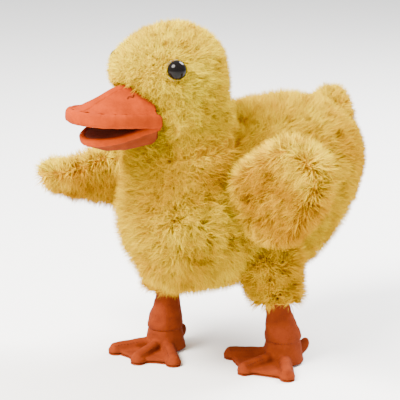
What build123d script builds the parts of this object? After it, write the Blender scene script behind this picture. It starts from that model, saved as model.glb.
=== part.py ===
from build123d import *
import math
import os

# Duckling hand puppet with a moving mouth, in millimetres.
# Working frame: the bill points to -Y, the puppet's left is +X, +Z is up and Z = 0 is the floor.
# The last step moves everything so that the origin is the centre of the base of the whole box.
ORIGIN_Y = 52.0

GAP = 0.25
RUN_GAP = 0.6
BIG = 400.0

# torso: places along Y as (y, centre height, half width, half height)
TORSO_RINGS = [
    (-46, 127, 14, 18),
    (-43, 127, 26, 33),
    (-34, 128, 37, 45),
    (-15, 130, 48, 58),
    (20, 138, 58, 69),
    (60, 139, 62, 73),
    (100, 137, 63, 74),
    (140, 146, 59, 65),
    (168, 152, 51, 54),
    (190, 156, 41, 42),
    (203, 159, 27, 27),
    (208, 160, 13, 13),
]
TORSO_SEAM_HEIGHT = 128
TORSO_SEAM_ANGLE = 38
SKIN = 5.0

# tail: heights as (z, centre y, half width, half length)
TAIL_RINGS = [(186, 184, 27, 26), (203, 186, 22, 20), (212, 188, 15, 14), (217, 189, 7, 7)]
TAIL_SKIN = 4.0

# hand sleeve: from the opening under the tail, along the body and up the neck
HAND_R = 33.0
SLEEVE = 1.2
HEM = 3.5
NECK_Y = 2.0
SLEEVE_TURN_R = 40.0
SLEEVE_AXIS_Z = 138.0
SLEEVE_BACK_Y = 115.0
SLEEVE_EXIT_R = 60.0
SLEEVE_EXIT_ANGLE = 45
SLEEVE_EXIT_RUN = 80.0
SLEEVE_TOP_Z = 175.0

# neck: turns on the body about a vertical axis
NECK_Z = 178.0
NECK_R = 47.0
NECK_SKIN = 3.0
NECK_RIM_Z = 193.0
NECK_RIM_TILT = 9
NOD_Z = 205.0
CUP_R = 43.6
COLLAR_R = 43.0
COLLAR_Z = 191.0
HEAD_TURN = -8

# head: heights as (z, centre y, half width, half length)
HEAD_RINGS = [
    (205, -6, 40, 43),
    (222, -9, 44, 46),
    (240, -12, 45.5, 48.5),
    (256, -15, 44, 51),
    (270, -13, 38.5, 44.5),
    (281, -10.5, 28.5, 32.5),
    (288, -9, 17, 19),
    (291, -8.5, 8, 9),
]
HEAD_SKIN = 4.0
CROWN_HALF_WIDTH = 15
PALM_TOP_Z = 234.0
PALM_R = 30.0
PALM_Y = -2.0

# mouth hinge and the two bill planes that meet on it
HINGE_Y = -43.0
HINGE_Z = 218.5
JAW_CLEAR_R = 20.4
JAW_CLEAR_HALF = 34.0
JAW_CLEAR_Y = -35.0
UPPER_RISE = 5
LOWER_DROP = 13
BILL_RIM = 4.0
BILL_RIM_T = 5.0
BILL_SKIN = 2.0
LINING_T = 0.9
BOARD_T = 1.6
# plan of each bill half: tapered sides from the root, then half an ellipse to the tip
UPPER_PLAN = {"root": 3.0, "root_half": 33.5, "turn": 28.0, "turn_half": 30.0, "tip": 64.0}
LOWER_PLAN = {"root": 2.5, "root_half": 31.5, "turn": 18.0, "turn_half": 28.0, "tip": 54.0}
# (distance from the hinge, ridge height) and (distance from the hinge, depth)
UPPER_HEIGHTS = [(3, 27), (14, 26.5), (28, 21), (42, 14), (54, 7.5), (62, 5.9)]
LOWER_DEPTHS = [(2.5, 19), (17, 17.5), (30, 15), (43, 11.5), (52, 7.2)]
RIDGE_HALF = 4.6
NOSTRIL_POINT = (14.5, 22.0, 17.8)
NOSTRIL_LENGTH = 8.0
NOSTRIL_R = 0.9

# safety eyes
EYE_POINT = (40.5, -36.0, 260.0)
EYE_AXIS = (0.88, -0.42, 0.2)
EYE_R = 7.6
EYE_DOME = 5.4
EYE_RIM = 1.2
EYE_STEM_R = 2.0
EYE_STEM = 15.0
EYE_WASHER_R = 8.5
EYE_WASHER_Z = -7.5
EYE_WASHER_T = 1.2

# wings: shoulder disc and outer lobe, in the plane of the wing
WING_ROOT_R = 36.0
WING_TIP_R = 34.0
WING_SPAN = 51.0
WING_HALF = 13.0
WING_SKIN = 4.0
WING_ROUND = 9.0
WINGS = {
    "left": {"root": (80, 14, 152), "out": (1, 0, 0), "face": (0, -0.94, -0.34), "lift": 36},
    "right": {"root": (-77, 6, 152), "out": (-0.94, -0.34, 0), "face": (0.27, -0.745, -0.61), "lift": -8},
}

# legs: ball at the hip, fur cuff, suede leg and ball at the ankle
HIP_R = 24.0
HIP_Z = 92.0
CUFF_TOP_DROP = 4.0
THIGH_R = 21.0
CUFF_R = 17.5
CUFF_Z = 54.0
CUFF_SKIN = 4.5
HIP_FLARE_R = 35.0
HIP_FLARE_Z = 54.0
LEG_R = 14.0
LEG_TOP_Z = 80.0
LEG_SKIN = 1.4
ANKLE_Z = 25.0
LEGS = {
    "left": {"hip": (46, 55), "ankle": (54, 65), "toes": (-58, -4, 46), "heading": -8},
    "right": {"hip": (-42, 30), "ankle": (-42, 20), "toes": (-28, 14, 54), "heading": 10},
}

# feet
TOE_LENGTH = 51.0
TOE_R = 6.6
TOE_BAR_R = 5.2
TOE_Z = 5.0
WEB_REACH = 47.0
WEB_LENGTH = 41.0
WEB_T = 4.8
HEEL_R = 15.0
SOLE_T = 1.4
FOOT_SKIN = 1.4
ANKLE_MOUND_Z = 21.0
REAR_TOE_LENGTH = 31.0
REAR_TOE_R = 5.5


def ring_y(y, z, half_x, half_z):
    plane = Plane(origin=(0, y, z), x_dir=(1, 0, 0), z_dir=(0, 1, 0))
    return (plane * Ellipse(half_x, half_z)).face()


def ring_z(z, y, half_x, half_y):
    return (Pos(0, y, z) * Ellipse(half_x, half_y)).face()


def moved_ring(ring, inset, shift):
    y, z, half_x, half_z = ring
    return ring_y(y + shift, z, half_x - inset, half_z - inset)


def torso_form(inset):
    rings = [ring_y(y, z, rx - inset, rz - inset) for y, z, rx, rz in TORSO_RINGS[1:-1]]
    first, last = TORSO_RINGS[0], TORSO_RINGS[-1]
    if inset == 0:
        rings.insert(0, ring_y(*first))
        rings.append(ring_y(*last))
    else:
        rings[0] = moved_ring(TORSO_RINGS[1], inset, inset / 2)
        rings[-1] = moved_ring(TORSO_RINGS[-2], inset, -inset / 2)
    return loft(rings)


def stacked_form(rings, inset):
    faces = [ring_z(z, y, rx - inset, ry - inset) for z, y, rx, ry in rings[:-1]]
    z, y, rx, ry = rings[-1]
    top = z - inset
    faces = [f for f in faces if f.center().Z < top - 2]
    faces.append(ring_z(top, y, max(rx - inset / 2, 3), max(ry - inset / 2, 3)))
    return loft(faces)


def slab(low, high):
    size = [b - a for a, b in zip(low, high)]
    middle = [(a + b) / 2 for a, b in zip(low, high)]
    return Pos(*middle) * Box(*size)


def sleeve_tube(radius):
    neck = Vector(0, NECK_Y, SLEEVE_AXIS_Z + SLEEVE_TURN_R)
    turn_end = Vector(0, NECK_Y + SLEEVE_TURN_R, SLEEVE_AXIS_Z)
    back = Vector(0, SLEEVE_BACK_Y, SLEEVE_AXIS_Z)
    bend = math.radians(SLEEVE_EXIT_ANGLE)
    fall = Vector(0, math.cos(bend), -math.sin(bend))
    exit_start = back + Vector(0, SLEEVE_EXIT_R * math.sin(bend), SLEEVE_EXIT_R * (math.cos(bend) - 1))
    exit_end = exit_start + fall * SLEEVE_EXIT_RUN
    above = neck + Vector(0, 0, 10)
    path = (
        Line(above, neck)
        + TangentArc(neck, turn_end, tangent=(0, 0, -1))
        + Line(turn_end, back)
        + TangentArc(back, exit_start, tangent=(0, 1, 0))
        + Line(exit_start, exit_end)
    )
    return sweep(Pos(*above) * Circle(radius), path=path)


def seam_wedge(start, stop):
    # a long prism along Y that holds one sewn panel of the body
    def corner(angle):
        a = math.radians(angle)
        return (BIG * math.cos(a), BIG * math.sin(a))

    middle = (start + stop) / 2
    outline = Polyline((0, 0), corner(start), corner(middle), corner(stop), (0, 0))
    plane = Plane(origin=(0, BIG, TORSO_SEAM_HEIGHT), x_dir=(1, 0, 0), z_dir=(0, -1, 0))
    return extrude(plane * make_face(outline), amount=2 * BIG)


def wing_plane(side):
    wing = WINGS[side]
    return Plane(origin=wing["root"], x_dir=wing["out"], z_dir=wing["face"])


def hip_point(side):
    x, y = LEGS[side]["hip"]
    return Vector(x, y, HIP_Z)


def ankle_point(side):
    x, y = LEGS[side]["ankle"]
    return Vector(x, y, ANKLE_Z)


def body_cuts():
    # the neck's seat, the wing slots and the hip pockets
    seat = Pos(0, NECK_Y, NECK_Z - RUN_GAP + BIG / 2) * Cylinder(NECK_R + 1.5, BIG)
    cuts = [seat]
    for side in WINGS:
        disc = Cylinder(WING_ROOT_R + 1, 2 * (WING_HALF + 1))
        cuts.append(wing_plane(side) * disc)
        hip = hip_point(side)
        cuts.append(Pos(*hip) * Sphere(HIP_R + RUN_GAP))
        flare_end = Vector(hip.X, hip.Y, HIP_FLARE_Z)
        cuts.append(tapered(hip, HIP_R + RUN_GAP - 0.3, flare_end, HIP_FLARE_R))
    return cuts


def make_torso():
    outer = torso_form(0)
    inner = torso_form(SKIN)
    bore = sleeve_tube(HAND_R + SLEEVE + GAP)
    hem_tube = sleeve_tube(HAND_R + SLEEVE + HEM)
    cuts = body_cuts()
    skin = outer - inner
    for cut in cuts:
        skin -= cut
    rear = slab((-BIG, 120, 0), (BIG, BIG, 135))
    hem = (skin & hem_tube & rear) - bore
    skin = skin - (hem_tube & rear) - bore
    side = TORSO_SEAM_ANGLE
    parts = {
        "left_side_panel": skin & seam_wedge(-side, side),
        "back_panel": skin & seam_wedge(side, 180 - side),
        "right_side_panel": skin & seam_wedge(180 - side, 180 + side),
        "belly_panel": skin & seam_wedge(180 + side, 360 - side),
        "opening_hem": hem,
    }
    stuffing = torso_form(SKIN + GAP) - bore
    for cut in cuts:
        stuffing -= cut
    parts["left_body_stuffing"] = stuffing & slab((0, -BIG, 0), (BIG, BIG, BIG))
    parts["right_body_stuffing"] = stuffing & slab((-BIG, -BIG, 0), (0, BIG, BIG))
    sleeve = sleeve_tube(HAND_R + SLEEVE) - sleeve_tube(HAND_R)
    below = slab((-BIG, -BIG, 0), (BIG, BIG, SLEEVE_TOP_Z))
    parts["hand_sleeve_body"] = (sleeve & torso_form(0)) & below
    tail = stacked_form(TAIL_RINGS, 0)
    tail_core = stacked_form(TAIL_RINGS, TAIL_SKIN)
    parts["tail_skin"] = (tail - tail_core) - outer
    parts["tail_stuffing"] = stacked_form(TAIL_RINGS, TAIL_SKIN + GAP) - outer
    return parts


def nod_point():
    return Vector(0, NECK_Y, NOD_Z)


def make_neck():
    height = 60
    base = Pos(0, NECK_Y, NECK_Z + height / 2)
    above = Plane(origin=(0, NECK_Y, NECK_RIM_Z), x_dir=(1, 0, 0)).rotated((NECK_RIM_TILT, 0, 0))
    over_rim = above * Pos(0, 0, BIG / 2) * Box(BIG, BIG, BIG)
    cup = Pos(*nod_point()) * Sphere(CUP_R)
    lining_back = Pos(*nod_point()) * Sphere(CUP_R + LINING_T)
    wall = base * Cylinder(NECK_R, height) - base * Cylinder(NECK_R - NECK_SKIN, height)
    wall = wall - over_rim - lining_back
    core = base * Cylinder(NECK_R - NECK_SKIN - GAP, height) - lining_back - over_rim
    lining = (lining_back - cup) & (base * Cylinder(NECK_R - 1, height)) - over_rim
    return {"neck_skin": wall, "neck_stuffing": core, "hand_sleeve_neck": lining}


def bill_plane(rise):
    a = math.radians(rise)
    return Plane(origin=(0, HINGE_Y, HINGE_Z), x_dir=(-1, 0, 0), z_dir=(0, math.sin(a), math.cos(a)))


def bill_half_width(plan, distance):
    if distance <= plan["turn"]:
        t = (distance - plan["root"]) / (plan["turn"] - plan["root"])
        return plan["root_half"] + (plan["turn_half"] - plan["root_half"]) * t
    t = (distance - plan["turn"]) / (plan["tip"] - plan["turn"])
    return plan["turn_half"] * math.sqrt(1 - t * t)


def bill_outline(plan, inset):
    root, turn = plan["root"], plan["turn"]
    wide, narrow = plan["root_half"] - inset, plan["turn_half"] - inset
    sides = make_face(Polyline((-wide, root), (wide, root), (narrow, turn), (-narrow, turn), (-wide, root)))
    nose = Pos(0, turn) * Ellipse(narrow, plan["tip"] - turn - inset)
    ahead = Pos(0, turn + BIG / 2) * Rectangle(BIG, BIG)
    return sides + (nose & ahead)


def bill_flat(plane, plan, inset, low, high):
    face = bill_outline(plan, inset)
    return plane * Pos(0, 0, low) * extrude(face, amount=high - low)


def bill_hull(plane, sections):
    faces = []
    for distance, points in sections:
        local = Plane(origin=(0, distance, 0), x_dir=(1, 0, 0), z_dir=(0, -1, 0))
        outline = Polyline(*points, points[0])
        faces.append((plane * (local * make_face(outline))).face())
    return loft(faces, ruled=True)


def upper_sections(inset):
    sections = []
    for distance, height in UPPER_HEIGHTS:
        w = max(bill_half_width(UPPER_PLAN, distance) - 1.3 * inset, 3)
        h = height - 1.2 * inset
        base = BILL_RIM_T + 0.4
        h = max(h, base + 0.3)
        r = min(RIDGE_HALF, w / 2)
        points = [(-w, 0.3), (w, 0.3), (w, base - 0.2), (r, h - 0.1), (-r, h - 0.1), (-w, base - 0.2)]
        sections.append((distance, points))
    return sections


def lower_sections(inset):
    sections = []
    for distance, depth in LOWER_DEPTHS:
        w = max(bill_half_width(LOWER_PLAN, distance) - 1.3 * inset, 3)
        d = max(depth - 1.2 * inset, BILL_RIM_T + 1)
        side = BILL_RIM_T + 0.4
        points = [(-w, -0.3), (-w, -side), (-0.55 * w, -d), (0.55 * w, -d), (w, -side), (w, -0.3)]
        sections.append((distance, points))
    return sections


def taper(plane, sections):
    faces = []
    for distance, half, low, high in sections:
        local = Plane(origin=(0, distance, (low + high) / 2), x_dir=(1, 0, 0), z_dir=(0, -1, 0))
        faces.append((plane * (local * Rectangle(2 * half, high - low))).face())
    return loft(faces, ruled=True)


def nostril(side):
    # a raised bar of satin stitches along the slope of the bill
    plane = bill_plane(UPPER_RISE)
    x, distance, height = NOSTRIL_POINT
    half = NOSTRIL_LENGTH / 2
    end = Sphere(NOSTRIL_R)
    bar = Cylinder(NOSTRIL_R, NOSTRIL_LENGTH) + Pos(0, 0, half) * end + Pos(0, 0, -half) * end
    return plane * Pos(-side * x, distance, height) * Rot(72, 0, -side * 8) * bar


def make_upper_bill():
    plane = bill_plane(UPPER_RISE)
    plan = UPPER_PLAN
    above = plane * Pos(0, 0, BILL_RIM_T + 0.3 + BIG / 2) * Box(BIG, BIG, BIG)
    rim = bill_flat(plane, plan, 0, 0.3, BILL_RIM_T)
    rim = rim - bill_flat(plane, plan, BILL_RIM, 0.2, BILL_RIM_T + 1)
    inset = BILL_RIM + 0.4
    lining = bill_flat(plane, plan, inset, 0.3, 0.3 + LINING_T)
    board = bill_flat(plane, plan, inset, 1.4, 1.4 + BOARD_T)
    cap = (bill_hull(plane, upper_sections(0)) - bill_hull(plane, upper_sections(BILL_SKIN))) & above
    ridge_zone = plane * Box(2 * RIDGE_HALF - 0.2, BIG, BIG)
    halves = plane * Box(2 * RIDGE_HALF, BIG, BIG)
    marks = nostril(1) + nostril(-1)
    sides = cap - halves - marks
    filler_low = bill_flat(plane, plan, inset, 3.2, BILL_RIM_T + 0.3)
    core = bill_hull(plane, upper_sections(BILL_SKIN + 0.3)) & above
    pocket_outer = taper(plane, [(-9, 20, 3.5, 13.5), (36, 11, 3.5, 9)])
    pocket_inner = taper(plane, [(-9.5, 19, 4.5, 12.5), (35, 10, 4.5, 8)])
    filler = filler_low + core - pocket_outer - marks
    keep_left = slab((0, -BIG, 0), (BIG, BIG, BIG))
    keep_right = slab((-BIG, -BIG, 0), (0, BIG, BIG))
    return {
        "upper_bill_rim": rim,
        "upper_mouth_lining": lining,
        "upper_mouth_board": board,
        "upper_bill_ridge_strip": cap & ridge_zone,
        "upper_bill_left_panel": sides & keep_left,
        "upper_bill_right_panel": sides & keep_right,
        "upper_bill_filler": filler,
        "finger_pocket": pocket_outer - pocket_inner,
        "nostril_stitches": marks,
    }


def make_lower_bill():
    plane = bill_plane(-LOWER_DROP)
    plan = LOWER_PLAN
    below = plane * Pos(0, 0, -(BILL_RIM_T + 0.3) - BIG / 2) * Box(BIG, BIG, BIG)
    rim = bill_flat(plane, plan, 0, -BILL_RIM_T, -0.3)
    rim = rim - bill_flat(plane, plan, BILL_RIM, -BILL_RIM_T - 1, -0.2)
    inset = BILL_RIM + 0.4
    lining = bill_flat(plane, plan, inset, -0.3 - LINING_T, -0.3)
    board = bill_flat(plane, plan, inset, -1.4 - BOARD_T, -1.4)
    cover = (bill_hull(plane, lower_sections(0)) - bill_hull(plane, lower_sections(BILL_SKIN))) & below
    filler_top = bill_flat(plane, plan, inset, -BILL_RIM_T - 0.3, -3.2)
    core = bill_hull(plane, lower_sections(BILL_SKIN + 0.3)) & below
    pocket_outer = taper(plane, [(2.6, 13, -14.5, -3.6), (36, 9, -9.5, -3.6)])
    pocket_inner = taper(plane, [(2.4, 12, -13.5, -4.6), (35, 8, -8.5, -4.6)])
    return {
        "lower_bill_rim": rim,
        "lower_mouth_lining": lining,
        "lower_mouth_board": board,
        "lower_bill_cover": cover - pocket_outer,
        "lower_bill_filler": filler_top + core - pocket_outer,
        "thumb_pocket": pocket_outer - pocket_inner,
    }


def eye_plane(side):
    x, y, z = EYE_POINT
    nx, ny, nz = EYE_AXIS
    return Plane(origin=(side * x, y, z), x_dir=(0, 0, 1), z_dir=(side * nx, ny, nz))


def eye_form(extra):
    # a domed cap, its rim and the stem that the washer grips
    r, dome = EYE_R + extra, EYE_DOME + extra
    ball_r = (r * r + dome * dome) / (2 * dome)
    cap = Pos(0, 0, dome - ball_r) * Sphere(ball_r) & Pos(0, 0, BIG / 2) * Box(BIG, BIG, BIG)
    rim = Pos(0, 0, -(EYE_RIM + extra) / 2) * Cylinder(r, EYE_RIM + extra)
    stem = Pos(0, 0, -EYE_STEM / 2) * Cylinder(EYE_STEM_R + extra, EYE_STEM + 2 * extra)
    return cap + rim + stem


def eye_washer(extra):
    disc = Cylinder(EYE_WASHER_R + extra, EYE_WASHER_T + 2 * extra)
    return Pos(0, 0, EYE_WASHER_Z) * (disc if extra else disc - Cylinder(EYE_STEM_R + 0.1, 10))


def make_head():
    join = slab((-BIG, -BIG, NOD_Z), (BIG, BIG, BIG))
    low = slab((-BIG, -BIG, COLLAR_Z), (BIG, BIG, NOD_Z))
    collar_out = (Pos(*nod_point()) * Sphere(COLLAR_R)) & low
    collar_in = (Pos(*nod_point()) * Sphere(COLLAR_R - 2)) & low
    outer = stacked_form(HEAD_RINGS, 0) & join
    inner = stacked_form(HEAD_RINGS, HEAD_SKIN) & join
    core = stacked_form(HEAD_RINGS, HEAD_SKIN + GAP) & slab((-BIG, -BIG, NOD_Z + GAP), (BIG, BIG, BIG))
    palm = Pos(0, PALM_Y, (COLLAR_Z + PALM_TOP_Z) / 2 - 5)
    palm_length = PALM_TOP_Z - COLLAR_Z + 10
    palm_bore = palm * Cylinder(PALM_R + SLEEVE + GAP, palm_length)
    hinge = Pos(0, HINGE_Y, HINGE_Z) * Rot(0, 90, 0) * Cylinder(JAW_CLEAR_R, 2 * JAW_CLEAR_HALF)
    hinge = hinge & slab((-BIG, -BIG, 0), (BIG, JAW_CLEAR_Y, HINGE_Z + 0.5))
    front = slab((-BIG, -BIG, 0), (BIG, HINGE_Y, HINGE_Z + 0.5))
    bill = bill_plane(UPPER_RISE)
    bill_room = bill_hull(bill, [(d - 0.3 if d < 5 else d, p) for d, p in upper_sections(-0.4)])
    finger_room = taper(bill, [(-9, 20.3, 3.2, 13.8), (36, 11.3, 3.2, 9.3)])
    finger_way = taper(bill, [(-20, 19, 4.5, 12.5), (-8.9, 19, 4.5, 12.5)])
    under_bill = slab((-34, -BIG, HINGE_Z - 1), (34, HINGE_Y - 2.4, HINGE_Z + 8))
    thumb_way = slab((-13, JAW_CLEAR_Y - 8, 203), (13, -20, 215))
    cuts = [hinge, front, bill_room, finger_room, finger_way, under_bill, thumb_way]
    parts = {}
    washers = []
    for name, side in (("left", 1), ("right", -1)):
        plane = eye_plane(side)
        parts[f"{name}_eye"] = plane * eye_form(0)
        washers.append(plane * eye_washer(0))
        cuts.append(plane * eye_form(GAP))
        cuts.append(plane * eye_washer(GAP))
    parts["eye_washers"] = washers[0] + washers[1]
    skin = outer - inner
    stuffing = core - palm_bore
    collar = collar_out - collar_in
    collar_fill = collar_in - palm_bore
    sleeve = palm * Cylinder(PALM_R + SLEEVE, palm_length) - palm * Cylinder(PALM_R, palm_length)
    sleeve = sleeve & slab((-BIG, -BIG, COLLAR_Z), (BIG, BIG, BIG))
    crown = slab((-CROWN_HALF_WIDTH, -BIG, 0), (CROWN_HALF_WIDTH, BIG, BIG))
    for cut in cuts:
        skin -= cut
        stuffing -= cut
        collar -= cut
        collar_fill -= cut
        sleeve -= cut
    parts["head_crown_gusset"] = skin & crown
    parts["head_left_panel"] = (skin - crown) & slab((0, -BIG, 0), (BIG, BIG, BIG))
    parts["head_right_panel"] = (skin - crown) & slab((-BIG, -BIG, 0), (0, BIG, BIG))
    parts["head_stuffing"] = stuffing
    parts["neck_collar"] = collar
    parts["collar_stuffing"] = collar_fill
    parts["hand_sleeve_head"] = sleeve
    return parts


def wing_outline(inset):
    a, b = WING_ROOT_R - inset, WING_TIP_R - inset
    return make_hull([*Circle(a).edges(), *(Pos(WING_SPAN, 0) * Circle(b)).edges()])


def wing_form(inset):
    half = WING_HALF - inset
    form = Pos(0, 0, -half) * extrude(wing_outline(inset), amount=2 * half)
    return fillet(form.edges(), WING_ROUND - inset)


def make_wing(side):
    plane = wing_plane(side) * Rot(0, 0, WINGS[side]["lift"])
    skin = wing_form(0) - wing_form(WING_SKIN)
    front = Pos(0, 0, BIG / 2) * Box(BIG, BIG, BIG)
    back = Pos(0, 0, -BIG / 2) * Box(BIG, BIG, BIG)
    return {
        f"{side}_wing_front_panel": plane * (skin & front),
        f"{side}_wing_back_panel": plane * (skin & back),
        f"{side}_wing_wadding": plane * wing_form(WING_SKIN + GAP),
    }


def rod(start, end, radius):
    direction = end - start
    middle = Pos(0, 0, direction.length / 2)
    return Plane(origin=start, z_dir=direction) * middle * Cylinder(radius, direction.length)


def round_at(point, radius):
    return (Pos(*point) * Circle(radius)).face()


def tapered(start, start_r, end, end_r):
    return loft([round_at(start, start_r), round_at(end, end_r)], ruled=True)


def along(start, end, z):
    t = (z - start.Z) / (end.Z - start.Z)
    return start + (end - start) * t


def make_leg(side):
    hip, ankle = hip_point(side), ankle_point(side)
    hem = along(hip, ankle, CUFF_Z)
    ball = Pos(*hip) * Sphere(HIP_R)
    ball_in = Pos(*hip) * Sphere(HIP_R - CUFF_SKIN)
    start = along(hip, ankle, HIP_Z - CUFF_TOP_DROP)
    outer = ball + tapered(start, THIGH_R, hem, CUFF_R)
    leg_top = along(hip, ankle, LEG_TOP_Z)
    shank = rod(leg_top, ankle, LEG_R) + Pos(*ankle) * Sphere(LEG_R)
    core_r = LEG_R - LEG_SKIN
    core_top = along(hip, ankle, LEG_TOP_Z - LEG_SKIN)
    core = rod(core_top, ankle, core_r) + Pos(*ankle) * Sphere(core_r)
    fill_r = core_r - GAP
    fill_top = along(hip, ankle, LEG_TOP_Z - LEG_SKIN - GAP)
    room = rod(along(hip, ankle, LEG_TOP_Z + GAP), ankle, LEG_R + GAP)
    return {
        f"{side}_thigh_cuff": outer - ball_in - room,
        f"{side}_thigh_stuffing": Pos(*hip) * Sphere(HIP_R - CUFF_SKIN - GAP) - room,
        f"{side}_leg_sleeve": shank - core,
        f"{side}_leg_stuffing": rod(fill_top, ankle, fill_r) + Pos(*ankle) * Sphere(fill_r),
    }


def foot_outline(side, inset):
    # toes spread from the ankle, with the web's edge curved in between them
    x, y = LEGS[side]["ankle"]
    angles = LEGS[side]["toes"]

    def at(angle, length):
        a = math.radians(angle)
        return (x + length * math.sin(a), y - length * math.cos(a))

    tip_r = TOE_R - inset
    face = Sketch() + Pos(x, y) * Circle(HEEL_R - inset)
    for angle in angles:
        tip = Pos(*at(angle, TOE_LENGTH - TOE_R)) * Circle(tip_r)
        heel = Pos(*at(angle, 0)) * Circle(tip_r)
        face += make_hull([*tip.edges(), *heel.edges()])
    for a, b in zip(angles, angles[1:]):
        left, right = at(a, WEB_REACH - inset), at(b, WEB_REACH - inset)
        dip = at((a + b) / 2, WEB_LENGTH - inset)
        web = ThreePointArc(left, dip, right) + Line(right, (x, y)) + Line((x, y), left)
        face += make_face(web)
    return face


def toe_bar(side, angle, length, radius):
    x, y = LEGS[side]["ankle"]
    a = math.radians(angle)
    tip = Vector(x + (length - radius) * math.sin(a), y - (length - radius) * math.cos(a), TOE_Z)
    root = Vector(x, y, TOE_Z + 3)
    ball = Pos(*tip) * Sphere(radius)
    return rod(root, tip, radius) + ball


def foot_form(side, inset, floor):
    outline = foot_outline(side, inset)
    form = Pos(0, 0, floor) * extrude(outline, amount=WEB_T - inset - floor)
    for angle in LEGS[side]["toes"]:
        form += toe_bar(side, angle, TOE_LENGTH - 1 - inset, TOE_BAR_R - inset)
    x, y = LEGS[side]["ankle"]
    mound = tapered((x, y, floor), HEEL_R + 3 - inset, (x, y, ANKLE_MOUND_Z - inset), LEG_R + 0.5 - inset)
    form += mound
    form -= slab((-BIG, -BIG, -BIG), (BIG, BIG, floor))
    return form


def make_foot(side):
    ankle = ankle_point(side)
    cup = Pos(*ankle) * Sphere(LEG_R + RUN_GAP)
    core_cup = Pos(*ankle) * Sphere(LEG_R + RUN_GAP + FOOT_SKIN)
    heading = LEGS[side]["heading"]
    a = math.radians(heading)
    outer = foot_form(side, 0, SOLE_T + 0.1)
    inner = foot_form(side, FOOT_SKIN, SOLE_T + 0.1)
    sole = extrude(foot_outline(side, 0), amount=SOLE_T)
    root = Vector(ankle.X - 12 * math.sin(a), ankle.Y + 12 * math.cos(a), REAR_TOE_R + 1)
    tip = root + Vector(-math.sin(a), math.cos(a), 0) * (REAR_TOE_LENGTH - 12 - REAR_TOE_R)
    tip = Vector(tip.X, tip.Y, REAR_TOE_R)
    rear = rod(root, tip, REAR_TOE_R) + Pos(*tip) * Sphere(REAR_TOE_R) - outer - sole - cup
    rear -= slab((-BIG, -BIG, -BIG), (BIG, BIG, 0))
    core = foot_form(side, FOOT_SKIN + GAP, SOLE_T + GAP) - core_cup
    return {
        f"{side}_foot_sole": sole,
        f"{side}_foot_top": outer - inner - cup,
        f"{side}_foot_wadding": core,
        f"{side}_rear_toe": rear,
    }


def turn_head(shape):
    pivot = Pos(0, NECK_Y, 0)
    return pivot * Rot(0, 0, HEAD_TURN) * Pos(0, -NECK_Y, 0) * shape


def main():
    parts = make_torso()
    parts.update(make_neck())
    head = {**make_head(), **make_upper_bill(), **make_lower_bill()}
    for name, shape in head.items():
        parts[name] = turn_head(shape)
    for side in WINGS:
        parts.update(make_wing(side))
        parts.update(make_leg(side))
        parts.update(make_foot(side))
    os.makedirs("parts", exist_ok=True)
    low = [BIG] * 3
    high = [-BIG] * 3
    for name, shape in parts.items():
        placed = Pos(0, -ORIGIN_Y, 0) * shape
        solids = placed.solids()
        export_step(Compound(children=solids) if len(solids) > 1 else solids[0], f"parts/{name}.step")
        box = placed.bounding_box()
        low = [min(a, b) for a, b in zip(low, box.min)]
        high = [max(a, b) for a, b in zip(high, box.max)]
        print(name, len(solids), round(sum(s.volume for s in solids)))
    print("box", [round(v, 1) for v in low], [round(v, 1) for v in high])


main()
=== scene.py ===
import bpy
import bmesh
import math
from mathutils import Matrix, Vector, noise
from mathutils.bvhtree import BVHTree


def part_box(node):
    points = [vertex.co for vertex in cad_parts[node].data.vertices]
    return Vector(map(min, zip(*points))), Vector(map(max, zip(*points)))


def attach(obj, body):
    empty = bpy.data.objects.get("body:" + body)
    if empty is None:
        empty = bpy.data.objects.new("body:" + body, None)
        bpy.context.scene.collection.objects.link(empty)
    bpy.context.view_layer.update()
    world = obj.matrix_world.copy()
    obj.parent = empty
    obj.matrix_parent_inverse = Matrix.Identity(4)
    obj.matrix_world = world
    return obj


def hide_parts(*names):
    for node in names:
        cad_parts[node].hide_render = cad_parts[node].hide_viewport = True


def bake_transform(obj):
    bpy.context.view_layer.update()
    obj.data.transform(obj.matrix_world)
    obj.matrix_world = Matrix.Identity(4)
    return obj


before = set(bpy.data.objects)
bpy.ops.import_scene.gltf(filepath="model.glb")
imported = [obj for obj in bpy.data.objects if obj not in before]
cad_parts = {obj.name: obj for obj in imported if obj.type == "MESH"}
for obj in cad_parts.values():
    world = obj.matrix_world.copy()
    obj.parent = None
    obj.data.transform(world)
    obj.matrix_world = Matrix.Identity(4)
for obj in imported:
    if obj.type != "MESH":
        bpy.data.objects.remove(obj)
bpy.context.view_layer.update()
mm = 0.001
sides = {"left": 1, "right": -1}


def linearColour(hexText):
    channels = [int(hexText[i:i + 2], 16) / 255 for i in (1, 3, 5)]
    return [c / 12.92 if c <= 0.04045 else ((c + 0.055) / 1.055) ** 2.4 for c in channels] + [1.0]


def addNode(tree, kind, settings=None, inputs=None):
    node = tree.nodes.new(kind)
    for key, value in (settings or {}).items():
        setattr(node, key, value)
    for key, value in (inputs or {}).items():  # a socket is linked, anything else is set
        if isinstance(value, bpy.types.NodeSocket):
            tree.links.new(value, node.inputs[key])
        else:
            node.inputs[key].default_value = value
    return node


def midPoint(node):
    low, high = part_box(node)
    return (low + high) / 2


def smoothStep(low, high, value):
    share = min(1, max(0, (value - low) / (high - low)))
    return share * share * (3 - 2 * share)


# materials

def startMaterial(name, roughness, sheen=0.0, sheenTint="#ffffff", specular=0.5):
    material = bpy.data.materials.new(name)
    material.use_nodes = True
    tree = material.node_tree
    shader = tree.nodes["Principled BSDF"]
    shader.inputs["Roughness"].default_value = roughness
    shader.inputs["Specular IOR Level"].default_value = specular
    shader.inputs["Sheen Weight"].default_value = sheen
    shader.inputs["Sheen Roughness"].default_value = 0.5
    shader.inputs["Sheen Tint"].default_value = linearColour(sheenTint)
    return material, tree, shader


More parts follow.
